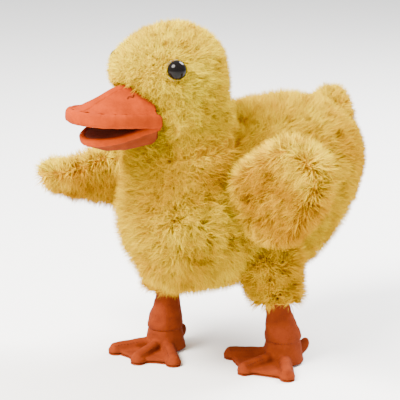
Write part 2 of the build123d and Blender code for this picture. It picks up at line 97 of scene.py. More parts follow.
def makeCloth(name, look):
    material, tree, shader = startMaterial(name, look["roughness"], look["sheen"], look["light"], 0.06)
    place = addNode(tree, "ShaderNodeTexCoord").outputs["Object"]
    mottle = addNode(tree, "ShaderNodeTexNoise", None,
                     {"Vector": place, "Scale": 1 / (look["mottleMm"] * mm), "Detail": 3.0})
    nap = addNode(tree, "ShaderNodeTexNoise", None,
                  {"Vector": place, "Scale": 1 / (look["napMm"] * mm), "Detail": 4.0, "Roughness": 0.65})
    both = addNode(tree, "ShaderNodeMix", {"data_type": "FLOAT"},
                   {0: look["napShare"], 2: mottle.outputs["Fac"], 3: nap.outputs["Fac"]})
    spread = addNode(tree, "ShaderNodeMapRange", None,
                     {"Value": both.outputs[0], "From Min": 0.34, "From Max": 0.66})
    colour = addNode(tree, "ShaderNodeMix", {"data_type": "RGBA"},
                     {0: spread.outputs[0], 6: linearColour(look["dark"]), 7: linearColour(look["light"])})
    tree.links.new(colour.outputs[2], shader.inputs["Base Color"])
    bump = addNode(tree, "ShaderNodeBump", None,
                   {"Height": nap.outputs["Fac"], "Distance": look["bumpMm"] * mm, "Strength": 0.8})
    tree.links.new(bump.outputs[0], shader.inputs["Normal"])
    return material


fibreForm = {"specular": 0.02, "ior": 1.1, "streakMm": 3, "roughness": (0.45, 0.8)}


def makeFibre(name, hexText):
    material, tree, shader = startMaterial(name, 0.6, specular=fibreForm["specular"])
    shader.inputs["Base Color"].default_value = linearColour(hexText)
    shader.inputs["IOR"].default_value = fibreForm["ior"]  # hollow fibres scatter more than they mirror
    place = addNode(tree, "ShaderNodeTexCoord").outputs["Object"]
    streak = addNode(tree, "ShaderNodeTexNoise", None,
                     {"Vector": place, "Scale": 1 / (fibreForm["streakMm"] * mm)})
    dull, duller = fibreForm["roughness"]
    shine = addNode(tree, "ShaderNodeMapRange", None,
                    {"Value": streak.outputs["Fac"], "To Min": dull, "To Max": duller})
    tree.links.new(shine.outputs[0], shader.inputs["Roughness"])
    return material


def makeGloss(name, look):
    material, tree, shader = startMaterial(name, look["roughness"], specular=look["specular"])
    shader.inputs["IOR"].default_value = look["ior"]
    shader.inputs["Coat Weight"].default_value = look["coat"]
    shader.inputs["Coat Roughness"].default_value = 0.03
    place = addNode(tree, "ShaderNodeTexCoord").outputs["Object"]
    swirl = addNode(tree, "ShaderNodeTexNoise", None, {"Vector": place, "Scale": 1 / (look["swirlMm"] * mm)})
    colour = addNode(tree, "ShaderNodeMix", {"data_type": "RGBA"},
                     {0: swirl.outputs["Fac"], 6: linearColour(look["dark"]), 7: linearColour(look["light"])})
    tree.links.new(colour.outputs[2], shader.inputs["Base Color"])
    return material


# pile fibres of dyed polyester, from deep orange to pale yellow; the darker steps also serve as painted shade
# on the roots and the paler steps as painted light on the tips
fibreShades = ["#975d00", "#ae7b00", "#c29700", "#cead00", "#dac100", "#e8d400"]
pileFibres = [makeFibre(f"polyesterPileFibre{i}", shade) for i, shade in enumerate(fibreShades)]
pileBacking = makeCloth("knittedPileBacking", {  # the knit that the pile grows from, deep gold: the pile's gold darkened as painted shade where it shows between fibres
    "light": "#d09c00", "dark": "#ab7400", "mottleMm": 9, "napMm": 1.2, "napShare": 0.5,
    "bumpMm": 0.4, "roughness": 0.9, "sheen": 0.2})
billSuede = makeCloth("brushedOrangeSuedeCloth", {  # brushed microfibre, soft nap with no shine
    "light": "#9c3602", "dark": "#7c2802", "mottleMm": 11, "napMm": 0.8, "napShare": 0.45,
    "bumpMm": 0.18, "roughness": 0.85, "sheen": 0.03})
legAndShadedBillSuede = makeCloth("brushedRustSuedeCloth", {  # the same cloth, darker: simply darker on the legs and feet, and painted shade on the lower bill cover
    "light": "#722c0d", "dark": "#5a2009", "mottleMm": 9, "napMm": 0.9, "napShare": 0.45,
    "bumpMm": 0.2, "roughness": 0.88, "sheen": 0.08})
mouthFelt = makeCloth("brownMouthFelt", {  # pressed felt, matt and fibrous
    "light": "#7c4030", "dark": "#562619", "mottleMm": 8, "napMm": 0.8, "napShare": 0.6,
    "bumpMm": 0.2, "roughness": 0.95, "sheen": 0.2})
sleeveCotton = makeCloth("wovenSleeveCotton", {  # plain woven lining inside the hand way
    "light": "#c9a24e", "dark": "#ab8238", "mottleMm": 20, "napMm": 0.7, "napShare": 0.5,
    "bumpMm": 0.1, "roughness": 0.9, "sheen": 0.1})
greyBoard = makeCloth("pressedGreyBoard", {  # stiffener board
    "light": "#a39a8c", "dark": "#857c70", "mottleMm": 12, "napMm": 0.6, "napShare": 0.4,
    "bumpMm": 0.05, "roughness": 0.85, "sheen": 0.0})
darkThread = makeCloth("twistedDarkThread", {  # waxed cotton thread
    "light": "#5a2410", "dark": "#3a1408", "mottleMm": 3, "napMm": 0.4, "napShare": 0.5,
    "bumpMm": 0.05, "roughness": 0.7, "sheen": 0.1})
eyePlastic = makeGloss("polishedBlackAcrylic", {  # moulded and polished, one sharp highlight
    "light": "#120d0b", "dark": "#060505", "swirlMm": 4, "ior": 1.49, "coat": 0.0, "specular": 0.12,
    "roughness": 0.06})
washerPlastic = makeGloss("mouldedWhiteNylon", {  # snap washers behind the eyes
    "light": "#ece8dd", "dark": "#ddd8cc", "swirlMm": 6, "ior": 1.53, "coat": 0.0, "specular": 0.5,
    "roughness": 0.5})


# shapes taken from the frame

weldMm = 0.02


def linkPiece(name, mesh):
    piece = bpy.data.objects.new(name, mesh)
    bpy.context.scene.collection.objects.link(piece)
    return piece


def copyNodes(name, nodes, extra=None):
    builder = bmesh.new()
    for node in nodes:
        builder.from_mesh(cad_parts[node].data)
    bmesh.ops.remove_doubles(builder, verts=builder.verts, dist=weldMm * mm)
    if extra:
        extra(builder)
    mesh = bpy.data.meshes.new(name)
    builder.to_mesh(mesh)
    builder.free()
    return linkPiece(name, mesh)


def bakeModifiers(piece):
    bpy.context.view_layer.update()
    evaluated = piece.evaluated_get(bpy.context.evaluated_depsgraph_get())
    mesh = bpy.data.meshes.new_from_object(evaluated)
    piece.modifiers.clear()
    piece.data = mesh
    mesh.name = piece.name
    mesh.shade_smooth()
    return piece


def soften(piece, voxelMm, rounds, swellMm=0.0):
    remesh = piece.modifiers.new("remesh", "REMESH")
    remesh.mode = "VOXEL"
    remesh.voxel_size = voxelMm * mm
    smooth = piece.modifiers.new("smooth", "SMOOTH")
    smooth.factor = 0.5
    smooth.iterations = rounds
    swell = piece.modifiers.new("swell", "DISPLACE")
    swell.mid_level = 0
    swell.strength = swellMm * mm
    return bakeModifiers(piece)


def dress(piece, material, slot):
    piece.data.materials.clear()
    piece.data.materials.append(material)
    return piece


def treeOf(piece):
    builder = bmesh.new()
    builder.from_mesh(piece.data)
    tree = BVHTree.FromBMesh(builder)
    builder.free()
    return tree


# the pile, grown by one node tree on any skin

def setInputs(modifier, values):
    for item in modifier.node_group.interface.items_tree:
        if item.name in values:
            modifier[item.identifier] = values[item.name]


def startTree(name, sockets):
    tree = bpy.data.node_groups.new(name, "GeometryNodeTree")
    tree.is_modifier = True
    tree.interface.new_socket("Geometry", in_out="INPUT", socket_type="NodeSocketGeometry")
    tree.interface.new_socket("Geometry", in_out="OUTPUT", socket_type="NodeSocketGeometry")
    for label, (kind, value) in sockets.items():
        socket = tree.interface.new_socket(label, in_out="INPUT", socket_type=kind)
        socket.default_value = value
    return tree, tree.nodes.new("NodeGroupInput").outputs


strandForm = {  # what differs from one fibre to the next
    "stray": 0.13, "roll": 0.3, "arch": 0.45, "length": (0.65, 1.15), "width": (0.6, 1.25),
    "shade": (-0.5, 0.6), "tipFrom": 0.6,
}


def makePileTree():
    tree, given = startTree("plushPileTree", {
        "Fibres per m2": ("NodeSocketFloat", 1e6),
        "Width": ("NodeSocketFloat", 0.8 * mm),
        "Lean": ("NodeSocketFloat", 0.3),
        "Tousle": ("NodeSocketFloat", 0.4),
        "Tuft size": ("NodeSocketFloat", 9 * mm),
        "Seed": ("NodeSocketInt", 7)})

    def add(kind, settings=None, inputs=None):
        return addNode(tree, kind, settings, inputs).outputs[0]

    def number(operation, a, b):
        return add("ShaderNodeMath", {"operation": operation}, {0: a, 1: b})

    def vector(operation, a, b):
        key = "Scale" if operation == "SCALE" else 1
        return add("ShaderNodeVectorMath", {"operation": operation}, {0: a, key: b})

    def stored(name, kind):
        return add("GeometryNodeInputNamedAttribute", {"data_type": kind}, {"Name": name})

    def spread(low, high, seed, kind="FLOAT"):
        node = addNode(tree, "FunctionNodeRandomValue", {"data_type": kind}, {"Seed": seed})
        first = 0 if kind == "FLOAT_VECTOR" else 2
        node.inputs[first].default_value = low
        node.inputs[first + 1].default_value = high
        return node.outputs[0 if kind == "FLOAT_VECTOR" else 1]

    # one fibre: a ribbon along Y that narrows to a point and arches a little
    ribbon = add("GeometryNodeMeshGrid", None,
                 {"Size X": 1.0, "Size Y": 1.0, "Vertices X": 2, "Vertices Y": 3})
    at = addNode(tree, "ShaderNodeSeparateXYZ", None, {0: add("GeometryNodeInputPosition")})
    along = number("ADD", at.outputs["Y"], 0.5)
    square = number("MULTIPLY", along, along)
    across = number("MULTIPLY", at.outputs["X"], number("SUBTRACT", 1.0, square))
    arch = number("MULTIPLY", number("SUBTRACT", along, square), strandForm["arch"])
    shaped = add("ShaderNodeCombineXYZ", None, {0: across, 1: along, 2: arch})
    ribbon = add("GeometryNodeSetPosition", None, {"Geometry": ribbon, "Position": shaped})
    isTip = add("FunctionNodeCompare", {"data_type": "FLOAT", "operation": "GREATER_THAN"},
                {0: addNode(tree, "ShaderNodeSeparateXYZ", None,
                            {0: add("GeometryNodeInputPosition")}).outputs["Y"],
                 1: strandForm["tipFrom"]})
    ribbon = add("GeometryNodeStoreNamedAttribute", {"data_type": "FLOAT", "domain": "FACE"},
                 {"Geometry": ribbon, "Name": "tip", "Value": isTip})
    ribbon = add("GeometryNodeMergeByDistance", None, {"Geometry": ribbon, "Distance": 0.001})

    # where fibres stand and which way they lie
    density = number("MULTIPLY", given["Fibres per m2"], stored("grow", "FLOAT"))
    scatter = addNode(tree, "GeometryNodeDistributePointsOnFaces", None,
                      {"Mesh": given["Geometry"], "Density": density, "Seed": given["Seed"]})
    normal = scatter.outputs["Normal"]
    spot = vector("DIVIDE", add("GeometryNodeInputPosition"),
                  add("ShaderNodeCombineXYZ", None, {i: given["Tuft size"] for i in range(3)}))
    tuft = addNode(tree, "ShaderNodeTexNoise", None, {"Vector": spot, "Scale": 1.0, "Detail": 1.5})
    swirl = vector("SCALE", vector("SUBTRACT", tuft.outputs["Color"], (0.5, 0.5, 0.5)),
                   number("MULTIPLY", given["Tousle"], 2.0))
    stray = vector("SCALE", spread((-1, -1, -1), (1, 1, 1), 3, "FLOAT_VECTOR"), strandForm["stray"])
    lie = vector("ADD", stored("comb", "FLOAT_VECTOR"), vector("SCALE", normal, given["Lean"]))
    lie = vector("ADD", vector("ADD", lie, swirl), stray)
    roll = vector("SCALE", spread((-1, -1, -1), (1, 1, 1), 5, "FLOAT_VECTOR"), strandForm["roll"])
    roll = vector("ADD", normal, roll)
    turn = add("FunctionNodeAlignRotationToVector", {"axis": "Y"}, {"Vector": lie})
    turn = add("FunctionNodeAlignRotationToVector", {"axis": "Z", "pivot_axis": "Y"},
               {"Rotation": turn, "Vector": roll})
    length = number("MULTIPLY", stored("pile", "FLOAT"), spread(*strandForm["length"], 11))
    width = number("MULTIPLY", given["Width"], spread(*strandForm["width"], 13))
    size = add("ShaderNodeCombineXYZ", None, {0: width, 1: length, 2: length})
    fibres = add("GeometryNodeInstanceOnPoints", None,
                 {"Points": scatter.outputs["Points"], "Instance": ribbon, "Rotation": turn, "Scale": size})

    # each fibre's shade comes from its place, its tuft and chance, with painted light and shade brought in
    # through the tone of its place, and its tip is one shade paler as painted light
    steps = len(pileFibres) - 2
    shade = number("MULTIPLY", stored("tone", "FLOAT"), float(steps))
    shade = number("ADD", shade, spread(*strandForm["shade"], 17))
    shade = number("MINIMUM", number("MAXIMUM", shade, 0.0), steps + 0.5)
    fibres = add("GeometryNodeStoreNamedAttribute", {"data_type": "FLOAT", "domain": "INSTANCE"},
                 {"Geometry": fibres, "Name": "shade", "Value": shade})
    fibres = add("GeometryNodeRealizeInstances", None, {"Geometry": fibres})
    total = number("ADD", stored("shade", "FLOAT"), stored("tip", "FLOAT"))
    for step, material in enumerate(pileFibres):
        reached = add("FunctionNodeCompare", {"data_type": "FLOAT", "operation": "GREATER_EQUAL"},
                      {0: total, 1: float(step) if step else -9.0})
        fibres = add("GeometryNodeSetMaterial", None,
                     {"Geometry": fibres, "Selection": reached, "Material": material})
    addNode(tree, "NodeGroupOutput", None, {0: fibres})
    return tree


pileTree = makePileTree()


def combSkin(skin, flow, pileMm, tone, bare):
    mesh = skin.data
    comb = mesh.attributes.new("comb", "FLOAT_VECTOR", "POINT")
    pile = mesh.attributes.new("pile", "FLOAT", "POINT")
    toneLayer = mesh.attributes.new("tone", "FLOAT", "POINT")
    grow = mesh.attributes.new("grow", "FLOAT", "POINT")
    for vertex in mesh.vertices:
        place = vertex.co / mm
        normal = vertex.normal
        way = flow(place)
        way = way - normal * way.dot(normal)
        if way.length > 0.001:
            way.normalize()
        comb.data[vertex.index].vector = way
        pile.data[vertex.index].value = pileMm(place) * mm
        toneLayer.data[vertex.index].value = tone(place, normal)
        grow.data[vertex.index].value = 0.0 if bare(vertex.co, normal) else 1.0


def growPile(name, skin, settings, mask=None):
    piece = linkPiece(name, skin.data.copy())
    if mask:
        grow = piece.data.attributes["grow"]
        for vertex in piece.data.vertices:
            if not mask(vertex.co / mm):
                grow.data[vertex.index].value = 0.0
    modifier = piece.modifiers.new("pile", "NODES")
    modifier.node_group = pileTree
    setInputs(modifier, settings)
    bpy.context.view_layer.update()
    mesh = bpy.data.meshes.new_from_object(piece.evaluated_get(bpy.context.evaluated_depsgraph_get()))
    piece.modifiers.clear()
    piece.data = mesh
    mesh.name = name
    for extra in ("comb", "pile", "tone", "grow", "shade", "tip", "UVMap"):
        if extra in mesh.attributes:
            mesh.attributes.remove(mesh.attributes[extra])
    print("grew", name, len(mesh.polygons), "faces")
    return piece


def dropCombing(skin):
    for extra in ("comb", "pile", "tone", "grow"):
        skin.data.attributes.remove(skin.data.attributes[extra])


# body, neck and head: one smooth plush skin, cut where the head turns

bodyForm = {
    "voxelMm": 3.0, "smoothing": 12, "sinkMm": -5.5,
    "neckRings": [(148, 46), (165, 47), (178, 46.5), (192, 44), (206, 42), (222, 40)],  # height, radius
    "ringPoints": 40, "neckMidMm": 178, "brow": Vector((0, -102, 250)),
    "chestTuckMm": 4.5, "chestFromToMm": (-20, -75), "chestTopMm": (95, 135),
    "rumpTuckMm": 3, "rumpFromToMm": (95, 140),
    "cutTilt": Vector((0, -0.6, 0.8)), "cutGapMm": 3, "torsoTurnMm": 34, "headTurnMm": 34,
    "liningNearMm": 12, "billNearMm": 1.5, "eyeNearMm": 6.5, "splitMm": 20, "fill": 0.8,
    "pile": {"Fibres per m2": 1.95e6, "Width": 0.62 * mm},
    "headPile": {"Fibres per m2": 2.7e6, "Width": 0.52 * mm, "Tuft size": 7 * mm, "Lean": 0.18,
                 "Tousle": 0.26},
}
torsoNodes = ["left_side_panel", "back_panel", "right_side_panel", "belly_panel", "left_body_stuffing",
              "right_body_stuffing", "tail_skin", "tail_stuffing"]
headNodes = ["neck_skin", "neck_stuffing", "neck_collar", "collar_stuffing", "head_crown_gusset",
             "head_left_panel", "head_right_panel", "head_stuffing"]
neckLow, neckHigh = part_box("neck_skin")
neckMid = Vector(((neckLow.x + neckHigh.x) / 2, (neckLow.y + neckHigh.y) / 2, bodyForm["neckMidMm"] * mm))
faceMid = Vector((midPoint("upper_bill_rim").x, midPoint("upper_bill_rim").y + 12 * mm, 222 * mm))


def addNeck(builder):
    rings = []
    for height, radius in bodyForm["neckRings"]:
        ring = []
        for i in range(bodyForm["ringPoints"]):
            angle = 2 * math.pi * i / bodyForm["ringPoints"]
            ring.append(builder.verts.new((neckMid.x + math.cos(angle) * radius * mm,
                                           neckMid.y + math.sin(angle) * radius * mm, height * mm)))
        rings.append(ring)
    for lower, upper in zip(rings, rings[1:]):
        for i in range(len(lower)):
            j = (i + 1) % len(lower)
            builder.faces.new((lower[i], lower[j], upper[j], upper[i]))
    builder.faces.new(rings[-1])
    builder.faces.new(rings[0][::-1])


combForm = {  # how the pile is brushed, lengths and heights in mm
    "neckTop": Vector((0, -60, 230)), "bodyDroop": Vector((0, 0, -0.25)), "bodyToHeadMm": (165, 205),
    "headDroop": Vector((0, 0.1, -0.55)), "browPush": Vector((0, -1.4, -0.3)), "browMm": (9, 26),
    "napeLean": 0.5, "napeMm": -20,
}
pileForm = {  # how long the pile is, in mm
    "bodyMm": 15, "headLessMm": 6.5, "rumpLessMm": 5.5, "browMoreMm": 3, "faceShare": 0.35,
    "headFromToMm": (170, 215), "faceFromToMm": (22, 60), "rumpFromToMm": (70, 130),
}
toneForm = {  # how pale the pile is, from 0 to 1; the up term is painted light on faces turned up and the neck term is painted shade under the head
    "base": 0.56, "head": 0.16, "neck": -0.2, "up": 0.12, "patches": ((28, 0.22), (9, 0.16)),
    "headFromToMm": (185, 240), "neckShadeMm": 172, "neckShadeWideMm": 24,
}


def headHeight(place):  # the border of the head slopes down to the nape
    return place.z - combForm["napeLean"] * max(0, place.y - combForm["napeMm"])


def browShare(place):
    return 1 - smoothStep(*combForm["browMm"], (place - bodyForm["brow"]).length)


def bodyFlow(place):
    fromNeck = (place - combForm["neckTop"]).normalized() + combForm["bodyDroop"]
    fromFace = (place - faceMid / mm).normalized() + combForm["headDroop"]
    share = smoothStep(*combForm["bodyToHeadMm"], headHeight(place))
    return fromNeck.lerp(fromFace, share) + combForm["browPush"] * browShare(place)


def bodyPile(place):
    onHead = smoothStep(*pileForm["headFromToMm"], headHeight(place))
    nearFace = 1 - smoothStep(*pileForm["faceFromToMm"], (place - faceMid / mm).length)
    onRump = smoothStep(*pileForm["rumpFromToMm"], place.y)
    length = pileForm["bodyMm"] - pileForm["headLessMm"] * onHead - pileForm["rumpLessMm"] * onRump
    return length * (1 - pileForm["faceShare"] * nearFace) + pileForm["browMoreMm"] * browShare(place)


def patches(place, layers):
    return sum(noise.noise(place / sizeMm) * strength for sizeMm, strength in layers)


def bodyTone(place, normal):
    onHead = smoothStep(*toneForm["headFromToMm"], place.z)
    # painted shade in a band around the neck, under the head
    paintedNeckShade = math.exp(-((place.z - toneForm["neckShadeMm"]) / toneForm["neckShadeWideMm"]) ** 2)
    tone = toneForm["base"] + toneForm["head"] * onHead + toneForm["neck"] * paintedNeckShade
    # faces turned up are paler: painted light from above
    return tone + patches(place, toneForm["patches"]) + toneForm["up"] * normal.z


def cutHalf(skin, name, keepUpper):
    builder = bmesh.new()
    builder.from_mesh(skin.data)
    whole = builder.verts[:] + builder.edges[:] + builder.faces[:]
    cut = bmesh.ops.bisect_plane(builder, geom=whole, plane_co=neckMid, plane_no=bodyForm["cutTilt"],
                                 clear_outer=not keepUpper, clear_inner=keepUpper)
    edges = [part for part in cut["geom_cut"] if isinstance(part, bmesh.types.BMEdge)]
    bmesh.ops.triangle_fill(builder, edges=edges, use_beauty=True)
    mesh = bpy.data.meshes.new(name)
    builder.to_mesh(mesh)
    builder.free()
    mesh.shade_smooth()
    return linkPiece(name, mesh)


def bendTorso(piece):
    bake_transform(piece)


def bendHead(piece):
    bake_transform(piece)


def tuckBody(skin):  # chest and rump are pulled in a little
    for vertex in skin.data.vertices:
        place = vertex.co / mm
        chest = smoothStep(*bodyForm["chestFromToMm"], place.y) * (
            1 - smoothStep(*bodyForm["chestTopMm"], place.z))
        rump = smoothStep(*bodyForm["rumpFromToMm"], place.y)
        vertex.co -= vertex.normal * (bodyForm["chestTuckMm"] * chest + bodyForm["rumpTuckMm"] * rump) * mm


def makeBody():
    whole = soften(copyNodes("wholeSkin", torsoNodes + headNodes, addNeck),
                   bodyForm["voxelMm"], bodyForm["smoothing"], bodyForm["sinkMm"])
    tuckBody(whole)
    sleeve = treeOf(copyNodes("sleeveCopy", ["hand_sleeve_body", "hand_sleeve_neck", "hand_sleeve_head",
                                             "opening_hem"]))
    bill = treeOf(copyNodes("billCopy", ["upper_bill_rim", "lower_bill_rim", "upper_bill_left_panel",
                                         "upper_bill_right_panel", "lower_bill_cover"]))
    eyes = [midPoint("left_eye"), midPoint("right_eye")]
    tilt = bodyForm["cutTilt"].normalized()

    def bare(place, normal):  # no pile grows on the cut, in the sleeve, under the bill or on the eyes
        onCut = abs((place - neckMid).dot(tilt)) < 0.01 * mm and abs(normal.dot(tilt)) > 0.8
        lining = sleeve.find_nearest(place, bodyForm["liningNearMm"] * mm)[0]
        inSleeve = lining is not None and (lining - place).dot(normal) > 0
        atBill = bill.find_nearest(place, bodyForm["billNearMm"] * mm)[0] is not None
        atEye = min((place - eye).length for eye in eyes) < bodyForm["eyeNearMm"] * mm
        return onCut or inSleeve or atBill or atEye

    torso = cutHalf(whole, "torsoPlush", False)
    head = cutHalf(whole, "headPlush", True)
    for scrap in (whole, bpy.data.objects["sleeveCopy"], bpy.data.objects["billCopy"]):
        bpy.data.objects.remove(scrap)
    for skin in (torso, head):
        combSkin(skin, bodyFlow, bodyPile, bodyTone, bare)
    split = bodyForm["splitMm"]
    quarters = {"FrontLeft": lambda p: p.x >= 0 and p.y < split,
                "FrontRight": lambda p: p.x < 0 and p.y < split,
                "BackLeft": lambda p: p.x >= 0 and p.y >= split,
                "BackRight": lambda p: p.x < 0 and p.y >= split}
    for seed, (corner, mask) in enumerate(quarters.items()):
        bendTorso(growPile("torsoPile" + corner, torso, {**bodyForm["pile"], "Seed": seed}, mask))
    halves = {"Left": lambda p: p.x >= 0, "Right": lambda p: p.x < 0}
    for seed, (half, mask) in enumerate(halves.items(), start=20):
        bendHead(growPile("headPile" + half, head, {**bodyForm["headPile"], "Seed": seed}, mask))
    for skin, nodes, bend in ((torso, torsoNodes, bendTorso), (head, headNodes, bendHead)):
        dropCombing(skin)
        dress(skin, pileBacking, "plush_fur")
        bend(skin)
        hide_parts(*nodes)
    print("body and head made")


# wings

wingForm = {
    "voxelMm": 2.2, "smoothing": 8, "sinkMm": -6.5, "pileMm": 12.5, "fill": 0.7,
    "pile": {"Fibres per m2": 2.2e6, "Width": 0.7 * mm},
    "root": Vector((60, -46, 152)), "droop": {"left": 0.0, "right": 0.46}, "droopFromTo": (0.1, 0.8),
    "shortMm": {"left": 0, "right": 8}, "trimMm": {"left": 15, "right": 0},
    "trimAlong": (0.3, 0.85), "trimHigh": (0.1, 0.65),
    "combFromMm": (70, 165), "combOut": 0.3, "combDown": -0.15,
    # the near left wing sits lower in tone than the far one: painted shade on its middle
    "tone": {"left": 0.24, "right": 0.42}, "paintedRimLight": 0.28, "rimLightFromToMm": (22, 48), "paintedWingTopLight": 0.22,
    "patches": ((18, 0.18),),
}


def droopWing(skin, side):  # the lobe narrows towards its lower edge and draws in at the tip
    start = wingForm["root"]
    root = Vector((sides[side] * start.x, start.y, start.z)) * mm
    tip = max((vertex.co for vertex in skin.data.vertices), key=lambda co: (co - root).length).copy()
    out = (tip - root).normalized()
    rise = (Vector((0, 0, 1)) - out * out.z).normalized()
    heights = [(vertex.co - root).dot(rise) for vertex in skin.data.vertices]
    lowest, height = min(heights), max(heights) - min(heights)
    span = (tip - root).length
    for vertex in skin.data.vertices:
        along = (vertex.co - root).dot(out) / span
        share = smoothStep(*wingForm["droopFromTo"], along)
        high = (vertex.co - root).dot(rise) - lowest
        vertex.co -= rise * high * share * wingForm["droop"][side]
        vertex.co -= out * share * wingForm["shortMm"][side] * mm
        corner = smoothStep(*wingForm["trimAlong"], along) * (
            1 - smoothStep(*wingForm["trimHigh"], high / height))
        vertex.co -= out * corner * wingForm["trimMm"][side] * mm


def makeWing(side):
    nodes = [f"{side}_wing_{part}" for part in ("front_panel", "back_panel", "wadding")]
    skin = soften(copyNodes(side + "WingPlush", nodes), wingForm["voxelMm"], wingForm["smoothing"],
                  wingForm["sinkMm"])
    droopWing(skin, side)
    behindMm, heightMm = wingForm["combFromMm"]
    combRoot = Vector((0, midPoint("neck_skin").y + behindMm * mm, heightMm * mm)) / mm
    middle = midPoint(nodes[-1]) / mm

    def flow(place):
        return (place - combRoot).normalized() + Vector(
            (wingForm["combOut"] * sides[side], 0, wingForm["combDown"]))

    def tone(place, normal):
        # paler towards the edge as painted rim light, and paler on faces turned up as painted light from
        # above
        edge = smoothStep(*wingForm["rimLightFromToMm"], (place - middle).length)
        pale = wingForm["tone"][side] + wingForm["paintedRimLight"] * edge + wingForm["paintedWingTopLight"] * normal.z
        return pale + patches(place, wingForm["patches"])

    combSkin(skin, flow, lambda place: wingForm["pileMm"], tone, lambda place, normal: False)
    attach(growPile(side + "WingPile", skin, {**wingForm["pile"], "Seed": 40 + sides[side]}),
            side + "_wing")
    dropCombing(skin)
    dress(skin, pileBacking, "plush_fur")
    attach(skin, side + "_wing")
    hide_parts(*nodes)
    print(side, "wing made")


# legs and feet

legForm = {
    "cuffVoxelMm": 2.0, "cuffSmoothing": 8, "cuffSinkMm": -2.0, "cuffPileMm": 12,
    "pile": {"Fibres per m2": 2.2e6, "Width": 0.7 * mm}, "tone": 0.34, "patches": ((12, 0.2),),
    "legVoxelMm": 1.3, "footVoxelMm": 1.0, "smoothing": 6, "soleSmoothing": 3,
    "ankleMm": 25, "kneeMm": 55, "sliceMm": 2, "slim": 0.72, "flare": 0.42, "flareFromToMm": (18, 52),
    "bendAboveMm": 8, "bendBelowMm": 6, "legCreaseMm": (0.5, 9), "creaseStretch": (1, 1, 2.2),
    "footCreaseMm": (0.35, 7), "rearShort": 0.1, "rearRiseMm": 8, "rearFromToMm": (14, 36),
    "fill": 0.8, "footFill": 0.7,
}


def wrinkle(piece, heightMm, sizeMm, stretch=(1, 1, 1)):
    for vertex in piece.data.vertices:
        place = Vector([vertex.co[i] / mm / sizeMm * stretch[i] for i in range(3)])
        vertex.co += vertex.normal * noise.fractal(place, 1.0, 2.0, 3) * heightMm * mm


def legCentre(leg, heightMm):
    near = [vertex.co for vertex in leg.data.vertices
            if abs(vertex.co.z / mm - heightMm) < legForm["sliceMm"]]
    return sum(near, Vector()) / len(near)


def flareLeg(leg):  # slim below the cuff and wider towards the foot
    low, high = legCentre(leg, legForm["ankleMm"]), legCentre(leg, legForm["kneeMm"])
    for vertex in leg.data.vertices:
        axis = low.lerp(high, (vertex.co.z - low.z) / (high.z - low.z))
        share = 1 - smoothStep(*legForm["flareFromToMm"], vertex.co.z / mm)
        grown = legForm["slim"] + legForm["flare"] * share
        vertex.co.x = axis.x + (vertex.co.x - axis.x) * grown
        vertex.co.y = axis.y + (vertex.co.y - axis.y) * grown


def raiseRearToe(toe, ankle):
    for vertex in toe.data.vertices:
        away = Vector((vertex.co.x - ankle.x, vertex.co.y - ankle.y, 0))
        share = smoothStep(*legForm["rearFromToMm"], away.length / mm)
        vertex.co -= away * legForm["rearShort"] * share
        vertex.co.z += legForm["rearRiseMm"] * mm * share


def makeCuff(side):
    nodes = [f"{side}_thigh_cuff", f"{side}_thigh_stuffing"]
    cuff = soften(copyNodes(side + "CuffPlush", nodes), legForm["cuffVoxelMm"], legForm["cuffSmoothing"],
                  legForm["cuffSinkMm"])

    def flow(place):
        return Vector((0, 0, -1))

    def tone(place, normal):
        return legForm["tone"] + patches(place, legForm["patches"])

    combSkin(cuff, flow, lambda place: legForm["cuffPileMm"], tone, lambda place, normal: False)
    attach(growPile(side + "CuffPile", cuff, {**legForm["pile"], "Seed": 60 + sides[side]}),
            side + "_leg")
    dropCombing(cuff)
    dress(cuff, pileBacking, "plush_fur")
    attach(cuff, side + "_leg")
    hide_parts(*nodes)


def makeLeg(side):
    makeCuff(side)
    legNodes = [f"{side}_leg_sleeve", f"{side}_leg_stuffing"]
    leg = soften(copyNodes(side + "LegSuede", legNodes), legForm["legVoxelMm"], legForm["smoothing"])
    flareLeg(leg)
    wrinkle(leg, *legForm["legCreaseMm"], legForm["creaseStretch"])
    dress(leg, legAndShadedBillSuede, "leg_suede")
    ankle = legCentre(leg, legForm["ankleMm"])
    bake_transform(leg)
    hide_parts(*legNodes)

    topNodes = [f"{side}_foot_top", f"{side}_foot_wadding"]
    top = soften(copyNodes(side + "FootTop", topNodes), legForm["footVoxelMm"], legForm["smoothing"])
    wrinkle(top, *legForm["footCreaseMm"])
    dress(top, legAndShadedBillSuede, "leg_suede")
    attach(top, side + "_foot")
    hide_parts(*topNodes)
    for node, name in ((f"{side}_foot_sole", side + "FootSole"), (f"{side}_rear_toe", side + "RearToe")):
        part = soften(copyNodes(name, [node]), legForm["footVoxelMm"], legForm["soleSmoothing"])
        if name.endswith("RearToe"):
            raiseRearToe(part, ankle)
        dress(part, legAndShadedBillSuede, "leg_suede")
        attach(part, side + "_foot")
        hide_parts(node)
    print(side, "leg made")


# bill

